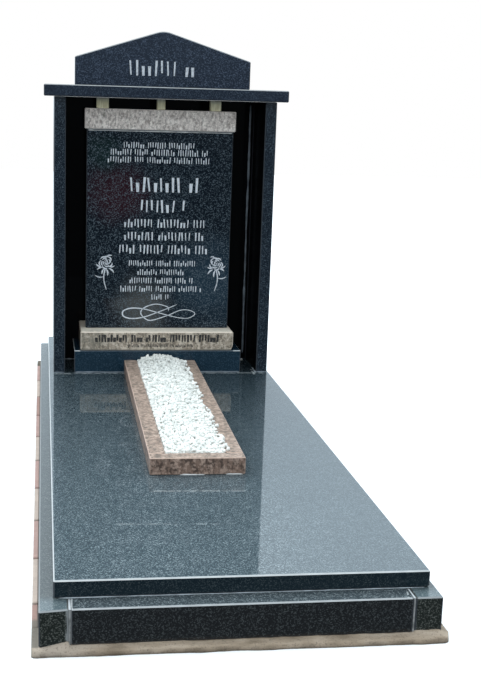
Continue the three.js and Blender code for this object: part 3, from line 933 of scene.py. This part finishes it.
# %% Pebbles
def white_marble():
    """Nearly white, a little greyer from stone to stone, with faint cool veins."""
    sheet = Sheet("white_marble")
    stone = sheet.crystals(0.013)
    vein = sheet.noise(0.01, 3)
    colour = sheet.mix(stone.step(0.1, 1.0), (0.54, 0.55, 0.52), (0.72, 0.72, 0.68))
    colour = sheet.mix(vein.step(0.6, 0.8) * 0.4, colour, (0.48, 0.50, 0.50))
    return sheet.finish(colour, 0.42 + 0.2 * vein, sheet.bump(vein, 0.0006), IOR=1.48)


def scatter_pebbles():
    """Every stone's points: the small stone's, times lumps and sizes, turned, and moved to its place."""
    rng = np.random.default_rng(7)
    points, faces = small_stone()
    places = pebble_places(rng)
    count = len(places)
    reach = rng.uniform(0.0048, 0.0080, (count, 1))
    sizes = reach * rng.uniform((0.85, 0.7, 0.55), (1.1, 0.95, 0.8), (count, 3))
    lumps = 1 + 0.10 * rng.normal(size=(count, len(points), 1))
    stones = points[None] * lumps * sizes[:, None, :]
    stones = np.einsum("nij,nkj->nki", random_turns(count, rng), stones) + places[:, None, :]
    shift = np.arange(count)[:, None, None] * len(points)
    print("pebbles:", count)
    return stones.reshape(-1, 3), (faces[None] + shift).reshape(-1, 4)


def bed_sheet():
    """The bed a little below the stones, with upright sides down to the ledger."""
    across, along = 14, 90
    v, u = np.meshgrid(np.linspace(0, 1, along), np.linspace(0, 1, across), indexing="ij")
    z = bed_height(u, v) - 0.008 + 0.0015 * soft_noise(u * 12, v * 80, 3)
    ring_u = np.concatenate([np.zeros((along, 1)), u, np.ones((along, 1))], axis=1)
    ring_v = np.concatenate([v[:, :1], v, v[:, -1:]], axis=1)
    foot = np.full((along, 1), BED_FOOT)
    ring_z = np.concatenate([foot, z, foot], axis=1)
    sections = in_tray(ring_u, ring_v, ring_z)
    return sweep("pebble_bed", sections, marble, "pebble")


marble = white_marble()
pebbles = new_piece("white_pebbles", *scatter_pebbles(), marble, "pebble")
bed_sheet()
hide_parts("pebbles")

# %% [markdown]
# ## Beads of sealant
# Where stones meet, a bead of sealant was run along the joint. A curve with a round bevel would do for an
# even one. Here a bead is half a circle carried along a line by arrays, so its radius can swell and thin
# as the hand moved, and run out to nothing at both ends. Most beads bulge up from the ledger, and the
# others out of a joint.


# %% Sealant
def sealant(name, colour, spread):
    """Rubbery and a little shiny, with grime that follows a noise."""
    sheet = Sheet(name)
    grime = sheet.noise(spread, 4)
    shade = sheet.mix(grime.step(0.35, 0.7), colour, tuple(0.55 * c for c in colour))
    return sheet.finish(shade, 0.35 + 0.3 * grime, sheet.bump(grime, 0.0005), IOR=1.42)


def bead(name, start, end, radius, finish, seed, up=(0, 0, 1), steps=60):
    """Half circles about the line from start to end. Their radius varies by a third and ends at nothing."""
    start, end, up = np.array(start), np.array(end), np.array(up, dtype=float)
    t = np.linspace(0, 1, steps)
    length = np.linalg.norm(end - start)
    side = np.cross((end - start) / length, up)
    taper = np.sqrt(np.clip(np.minimum(t, 1 - t) * length / (radius * 3), 0.02, 1))
    swell = radius * taper * (1 + 0.33 * soft_noise(t * length * 30, t * 0 + seed, seed))
    angle = np.linspace(0, math.pi, 9)
    ring = np.cos(angle)[:, None] * side + np.sin(angle)[:, None] * up
    drift = radius * 0.25 * soft_noise(t * length * 12, t * 0 + 0.5, seed + 1)
    line = start + t[:, None] * (end - start) + drift[:, None] * side
    sections = line[:, None, :] + swell[:, None, None] * ring
    return sweep(name, sections, finish, "grout")


white_sealant = sealant("white_sealant", (0.62, 0.63, 0.62), 0.02)
grey_sealant = sealant("grey_sealant", (0.16, 0.19, 0.22), 0.03)
pale_sealant = sealant("pale_sealant", (0.34, 0.38, 0.41), 0.02)

# %% Beads on the ledger
left_slab, right_slab, block, back_slab, ledger = (
    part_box(node) for node in ("side_slab_left", "side_slab_right", "base_block", "back_slab", "ledger")
)
slab_face = left_slab[0].y
niche_end = right_slab[0].x
tray_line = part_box("tray_front")[0].y + 0.0005
# Each bead is its name, where it starts and ends on the ledger, its radius, its sealant and its seed
LEDGER_BEADS = [
    ("tray_bead_left", (-0.053, tray_line + 0.0015), (0.011, tray_line + 0.0008), 0.0028, white_sealant, 1),
    ("tray_bead_right", (0.066, tray_line + 0.0005), (0.110, tray_line), 0.0032, white_sealant, 2),
    ("foot_bead_left", (left_slab[0].x, slab_face), (left_slab[1].x, slab_face), 0.003, grey_sealant, 3),
    ("foot_bead_block", (block[0].x, block[0].y), (block[1].x, block[0].y), 0.0032, grey_sealant, 4),
    ("foot_bead_right", (niche_end, slab_face), (right_slab[1].x, slab_face), 0.003, grey_sealant, 5),
    ("smear_bead_right", (niche_end - 0.001, 0.655), (niche_end - 0.003, 0.575), 0.002, pale_sealant, 6),
    ("corner_blob_right", (niche_end - 0.022, 0.772), (niche_end - 0.018, 0.794), 0.006, white_sealant, 7),
    ("foot_bead_back", (left_slab[1].x, NICHE_BACK), (block[0].x, NICHE_BACK), 0.004, pale_sealant, 8),
]
for name, start, end, radius, finish, seed in LEDGER_BEADS:
    bead(name, (*start, LEDGER_TOP), (*end, LEDGER_TOP), radius, finish, seed)

# %% Beads on the kerb, the tablet and in the niche's corners
LONG_BEAD_STEPS = 160
OUTWARDS = (0, -1, 0)
joint_x = 0.5 * (LEFT_JOINT[0].x + LEFT_JOINT[1].x)
KERB_BEADS = [
    ("ledger_foot_bead", ledger[0].x + 0.01, ledger[1].x - 0.01, ledger[0].y, 0.0013, 13),
    ("joint_dab", joint_x - 0.007, joint_x + 0.008, ledger[0].y - 0.001, 0.0022, 14),
]
for name, left, right, y, radius, seed in KERB_BEADS:
    start, end = (left, y, KERB_TOP), (right, y, KERB_TOP)
    bead(name, start, end, radius, pale_sealant, seed, steps=LONG_BEAD_STEPS)

# The white bead under the top bar is a painted highlight: it stands in for the tablet's lit top arris
tablet_line = (tablet_low.y, tablet_high.z - 0.005)
start, end = (tablet_low.x + 0.004, *tablet_line), (tablet_high.x - 0.004, *tablet_line)
bead("tablet_top_arris_highlight", start, end, 0.0014, white_sealant, 15, up=OUTWARDS, steps=LONG_BEAD_STEPS)

CORNER_BEADS = [
    ("corner_bead_left", left_slab[1].x, block[1].z, 11),
    ("corner_bead_right", niche_end - 0.015, LEDGER_TOP + 0.02, 12),
]
for name, x, foot, seed in CORNER_BEADS:
    start, end = (x, NICHE_BACK, foot), (x, NICHE_BACK, back_slab[1].z - 0.01)
    bead(name, start, end, 0.0038, grey_sealant, seed, up=OUTWARDS, steps=LONG_BEAD_STEPS)

# %% [markdown]
# ## Engraving
# The wording is only hinted at. Each line is a row of separate upright ticks, tall and short in turn, with
# wider gaps like those between words. A tick is a thin bar, tapered at its foot, that stands a third of a
# millimetre out of the stone, as paint in a shallow cut looks from a step away. All ticks of one stone are
# a single mesh: one bar is made once, and arrays stretch and place its copies.


# %% Paint
def paint(name, colour, worn, roughness):
    """Brushed paint that has thinned in places."""
    sheet = Sheet(name)
    wear = sheet.noise(0.006, 4)
    shade = sheet.mix(wear.step(0.45, 0.75), colour, worn)
    return sheet.finish(shade, roughness + 0.15 * wear, sheet.bump(wear, 0.0002), IOR=1.45)


silver_paint = paint("silver_paint", (0.62, 0.65, 0.69), (0.36, 0.39, 0.43), 0.42)
black_paint = paint("black_paint", (0.022, 0.021, 0.021), (0.07, 0.062, 0.052), 0.5)
print("paints:", silver_paint.name, "and", black_paint.name)

# %% Ticks
STROKE_PROUD = 0.0003
STROKE_SUNK = 0.0006
TICK_PITCH = 0.40
TICK_WIDTH = 0.15


def tick_row(left, right, foot, height, bold, rng):
    """The middle, foot, width and height of each tick of a row, with gaps as between words."""
    pitch = height * TICK_PITCH
    count = max(2, round((right - left) / pitch))
    middle = left + (np.arange(count) + 0.5) * (right - left) / count
    kind = rng.integers(0, 4, count)
    tall = np.choose(kind, [1.0, 0.92, 0.62, 0.8])
    lift = np.choose(kind, [0.0, 0.04, 0.0, 0.2])
    wide = np.choose(kind, [1.0, 0.75, 1.35, 0.9]) * TICK_WIDTH * bold
    word = np.cumsum(rng.integers(5, 12, count))
    keep = ~np.isin(np.arange(count), word)
    keep[[0, -1]] = True
    ticks = np.stack([middle, foot + lift * height, wide * height, tall * height], axis=-1)
    return ticks[keep]


def tick_mesh(name, rows, corner, finish, slot, seed, bold):
    """One thin bar for each tick, four corners in front and four behind, a fifth narrower at its foot."""
    rng = np.random.default_rng(seed)
    ticks = np.concatenate(
        [tick_row(left, right, corner.z + above, height, bold, rng) for left, right, above, height in rows]
    )
    across = np.array([-0.4, 0.4, 0.5, -0.5])
    upward = np.array([0.0, 0.0, 1.0, 1.0])
    lean = rng.normal(0, 0.05, len(ticks))
    x = ticks[:, :1] + ticks[:, 2:3] * across + lean[:, None] * ticks[:, 3:4] * upward
    z = ticks[:, 1:2] + ticks[:, 3:4] * upward
    front = np.stack([x, np.full_like(x, corner.y - STROKE_PROUD), z], axis=-1)
    behind = np.stack([x, np.full_like(x, corner.y + STROKE_SUNK), z], axis=-1)
    points = np.concatenate([front, behind], axis=1)
    box_faces = np.array([[0, 1, 2, 3], [7, 6, 5, 4], [4, 5, 1, 0], [5, 6, 2, 1], [6, 7, 3, 2], [7, 4, 0, 3]])
    faces = box_faces[None] + 8 * np.arange(len(ticks))[:, None, None]
    return new_piece(name, points.reshape(-1, 3), faces.reshape(-1, 4), finish, slot, smooth=False)


# %% Rows of ticks
# Each row is its left end, its right end, the height of its foot above the stone's foot, and its height
TABLET_ROWS = [
    (-0.129, 0.119, 0.629, 0.021),
    (-0.174, 0.167, 0.605, 0.021),
    (-0.183, 0.173, 0.579, 0.021),
    (-0.107, 0.139, 0.480, 0.051),
    (-0.071, 0.093, 0.409, 0.044),
    (-0.124, 0.164, 0.357, 0.029),
    (-0.123, 0.160, 0.312, 0.029),
    (-0.142, 0.175, 0.265, 0.031),
    (-0.106, 0.133, 0.221, 0.020),
    (-0.074, 0.092, 0.190, 0.020),
    (-0.102, 0.125, 0.160, 0.020),
    (-0.134, 0.156, 0.130, 0.021),
    (-0.023, 0.041, 0.102, 0.019),
]
PEDIMENT_ROWS = [(-0.116, 0.116, 0.037, 0.051)]
BAR_ROWS = [(-0.222, 0.213, 0.030, 0.026)]
BAR_SMALL_ROWS = [(-0.107, 0.122, 0.011, 0.011)]

pediment_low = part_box("pediment")[0]
# Each piece is its name, its rows, the stone's low corner, its paint, its slot, its seed and how bold it is
TICKS = [
    ("tablet_ticks", TABLET_ROWS, tablet_low, silver_paint, "dark_granite_tablet", 101, 1.15),
    ("pediment_ticks", PEDIMENT_ROWS, pediment_low, silver_paint, "dark_granite", 102, 1.0),
    ("bar_ticks", BAR_ROWS, bottom_bar[0], black_paint, "beige_granite", 103, 2.1),
    ("bar_small_ticks", BAR_SMALL_ROWS, bottom_bar[0], black_paint, "beige_granite", 104, 1.7),
]
for row in TICKS:
    tick_mesh(*row)

# %% [markdown]
# ## Flourish and roses
# Under the rows runs a pen flourish, and a rose stands at either side. A flat curve object could draw
# them, but its width is hard to vary. So all of them are ribbons: a line, smoothed through a few chosen
# points, with a width that swells and thins along it. The flourish is one unbroken line, with a loop at
# either end and an oval between. A rose is made of short ribbons: a spiral for its heart, arcs for the
# petals, and drops for sepals and leaves.


# %% Ribbons
def smooth_line(points, steps):
    """A curve through the points, each piece a cubic that leaves and arrives along its neighbours' chord."""
    points = np.asarray(points, dtype=float)
    padded = np.vstack([2 * points[0] - points[1], points, 2 * points[-1] - points[-2]])
    place = np.linspace(0, len(points) - 1 - 1e-9, steps)
    i = place.astype(int)
    t = (place - i)[:, None]
    a, b, c, d = (padded[i + k] for k in range(4))
    return 0.5 * (2 * b + (c - a) * t + (2 * a - 5 * b + 4 * c - d) * t**2 + (3 * b - a - 3 * c + d) * t**3)


def ribbon(line, widths, face_y):
    """A flat strip along a line (n, 2) in the stone's face, as its points and faces, closed all round."""
    ahead = np.gradient(line, axis=0)
    ahead /= np.linalg.norm(ahead, axis=1)[:, None] + 1e-12
    side = np.stack([-ahead[:, 1], ahead[:, 0]], axis=-1) * np.asarray(widths)[:, None] / 2
    left, right = line + side, line - side
    corners = []
    front, behind = -STROKE_PROUD, STROKE_SUNK
    for edge, depth in ((left, front), (right, front), (right, behind), (left, behind)):
        corners.append(np.stack([edge[:, 0], np.full(len(line), face_y + depth), edge[:, 1]], axis=-1))
    points = np.stack(corners, axis=1).reshape(-1, 3)
    ends = [[3, 2, 1, 0], 4 * (len(line) - 1) + np.arange(4)]
    return points, np.vstack([grid_faces(len(line), 4, wrap=True), ends])


def ribbons(name, strips, slot):
    """Joins many ribbons into one piece."""
    points, faces, count = [], [], 0
    for strip_points, strip_faces in strips:
        points.append(strip_points)
        faces.append(strip_faces + count)
        count += len(strip_points)
    return face_out(new_piece(name, np.vstack(points), np.vstack(faces), silver_paint, slot, smooth=False))


# %% Flourish
# Places on the tablet: across from its middle and up from its foot, in millimetres
FLOURISH = [
    (40, 61), (36, 76), (-6, 86), (-48, 72), (-58, 52), (-40, 32), (-18, 28), (34, 44), (82, 64),
    (116, 64), (135, 51), (112, 36), (78, 37), (46, 44), (0, 56), (-50, 69), (-92, 71), (-120, 61),
    (-120, 43), (-92, 34), (-48, 39), (0, 56), (40, 72), (70, 85),
]
FLOURISH_STEPS = 420


def flourish(face_y, foot):
    """One line through the points. It swells on its left and thins towards both ends."""
    line = smooth_line(FLOURISH, FLOURISH_STEPS) * MM
    swell = 0.5 - 0.5 * np.clip(line[:, 0] / 0.125, -1, 1)
    widths = 0.0024 + 0.0022 * swell**2
    ends = np.minimum(np.arange(FLOURISH_STEPS), np.arange(FLOURISH_STEPS)[::-1])
    widths = widths * np.clip(0.3 + ends / 12, 0, 1)
    return ribbon(line + np.array([0, foot]), widths, face_y)


ribbons("tablet_flourish", [flourish(tablet_low.y, tablet_low.z)], "dark_granite_tablet")


# %% Roses
# Each ring of petals: how many, how far out, how thick a petal grows, and where the first one starts
ROSE_RINGS = [(3, 8.0, 2.4, 20), (4, 13.5, 3.2, 65), (5, 19.5, 3.8, 10)]
# Each leaf, sepal or thorn: its two ends, its bend and its width
ROSE_LEAVES = [
    ((-14, -14), (-34, -5), 0.16, 4.5),
    ((-12, -18), (-30, -26), -0.15, 5.0),
    ((2, -22), (7, -47), 0.10, 5.5),
    ((10, -20), (29, -37), 0.12, 5.5),
    ((14, -16), (31, -11), -0.12, 4.0),
    ((-6, -22), (-13, -42), -0.10, 5.0),
    ((-6, -50), (-38, -45), 0.14, 3.8),
    ((-4, 22), (12, 29), -0.25, 5.0),
    ((6, 20), (22, 24), 0.20, 4.0),
]


def arc(middle, radii, start, end, steps=18):
    """Part of an oval, from one angle to another, in degrees."""
    angle = np.radians(np.linspace(start, end, steps))
    return np.array(middle) + np.stack([np.cos(angle) * radii[0], np.sin(angle) * radii[1]], axis=-1)


def drop(start, end, bend, width, steps=14):
    """A leaf: a bent line whose width is a sine, nothing at either tip."""
    start, end = np.array(start, dtype=float), np.array(end, dtype=float)
    t = np.linspace(0, 1, steps)
    across = np.array([-(end - start)[1], (end - start)[0]])
    line = start + t[:, None] * (end - start) + (bend * np.sin(math.pi * t))[:, None] * across
    return line, 0.25 + width * np.sin(math.pi * t) ** 0.8


def rose_lines():
    """Lines and widths of a rose, in millimetres from its heart, with its stem going down."""
    turn = np.linspace(0, 2.4 * math.pi, 40)
    heart = np.stack([np.cos(turn), np.sin(turn)], axis=-1) * (0.8 + 0.75 * turn)[:, None]
    lines = [(heart, np.full(40, 2.4))]
    for count, radius, thick, first in ROSE_RINGS:
        for k in range(count):
            start = first + 360 * k / count
            line = arc((0, 0), (radius, radius * 0.93), start, start + 0.86 * 360 / count)
            share = np.linspace(0, math.pi, len(line))
            line = line * (1 + 0.16 * np.sin(share) - 0.10 * np.cos(share))[:, None]
            lines.append((line, 1.0 + thick * np.sin(share)))
    for leaf in ROSE_LEAVES:
        lines.append(drop(*leaf))
    stem = smooth_line([(-2, -24), (-6, -46), (-5, -68), (3, -96)], 26)
    lines.append((stem, np.linspace(4.6, 2.4, 26)))
    return lines


def rose(middle, mirror, face_y, foot):
    """The rose's ribbons, put on the stone about its heart; mirror is -1 for the right one."""
    strips = []
    for line, widths in rose_lines():
        placed = line * (mirror, 1) * MM + np.array(middle) * MM + np.array([0, foot])
        strips.append(ribbon(placed, np.asarray(widths) * MM, face_y))
    return strips


for side, middle, mirror in (("left", (-184, 233), 1), ("right", (206, 231), -1)):
    ribbons("tablet_rose_" + side, rose(middle, mirror, tablet_low.y, tablet_low.z), "dark_granite_tablet")

# %% [markdown]
# ## Light and ground
# Polished stone is mostly what it mirrors. A pale, overcast sky stands behind and above, brighter higher
# up, and a dimmer one in front, so that the fronts stay nearly black while the ledger mirrors the sky
# beside the dark headstone. The ground is a plain white floor. It is kept out of the mirror images and of
# the light that bounces onto the stones, where the dim lower half of the sky takes its place, as earth
# would. Two wide lamps add a soft light from the left and from the front, and aren't mirrored either.


# %% Sky
def make_sky():
    """Radiance by direction: z is how high, y is how far behind the headstone."""
    world = bpy.data.worlds.new("sky")
    bpy.context.scene.world = world
    sheet = Sheet("sky", world)
    direction = sheet.node("ShaderNodeTexCoord", out="Generated")
    up = sheet.axis(direction, "Z")
    back = sheet.axis(direction, "Y")
    behind = back.step(-0.35, 0.25)
    high = up.step(0.2, 0.6)
    low_sky = 0.65 + 0.85 * behind
    high_sky = 1.6 + 1.3 * behind
    strength = low_sky * (1 - high) + high_sky * high
    above = up.step(-0.06, 0.05)
    strength = strength * above + 0.20 * (1 - above)
    tint = sheet.mix(high, (0.75, 0.89, 1.0), (0.83, 0.93, 1.0))
    lit = sheet.node("ShaderNodeBackground", None, {"Color": tint, "Strength": strength})
    seen = sheet.node("ShaderNodeBackground", None, {"Color": (1, 1, 1), "Strength": 1.0})
    straight = sheet.node("ShaderNodeLightPath", out="Is Camera Ray")
    shader = sheet.node("ShaderNodeMixShader", None, {0: straight, 1: lit, 2: seen})
    sheet.node("ShaderNodeOutputWorld", None, {"Surface": shader})


make_sky()
print("sky:", bpy.context.scene.world.name)


# %% Floor and lamps
FLOOR_REACH = 14.0


def make_floor():
    """One white square at ground level, far larger than the memorial."""
    near, far = -FLOOR_REACH, FLOOR_REACH
    mesh = bpy.data.meshes.new("floor")
    mesh.from_pydata([(near, near, 0), (far, near, 0), (far, far, 0), (near, far, 0)], [], [(0, 1, 2, 3)])
    sheet = Sheet("white_floor")
    mesh.materials.append(sheet.finish((0.82, 0.82, 0.82), 0.9, Specular_IOR_Level=0.1))
    floor = bpy.data.objects.new("floor", mesh)
    bpy.context.scene.collection.objects.link(floor)
    floor.visible_glossy = False
    floor.visible_diffuse = False


# Each lamp is its name, where it hangs, how wide it is and how many watts it gives
LAMPS = [("left_lamp", (-2.4, 1.6, 4.6), 3.5, 120), ("front_lamp", (-1.2, -5.4, 2.2), 3.0, 75)]


def make_lamp(name, place, width, power):
    """A wide, soft disk that looks at the memorial and is not mirrored in the polish."""
    data = bpy.data.lights.new(name, "AREA")
    data.shape = "DISK"
    data.size = width
    data.energy = power
    lamp = bpy.data.objects.new(name, data)
    lamp.location = place
    aim = Vector((0, 0, 0.5)) - lamp.location
    lamp.rotation_euler = aim.to_track_quat("-Z", "Y").to_euler()
    lamp.visible_glossy = False
    bpy.context.scene.collection.objects.link(lamp)


make_floor()
for lamp in LAMPS:
    make_lamp(*lamp)
print("floor and", len(LAMPS), "lamps")
bpy.context.scene.view_settings.view_transform = "Standard"
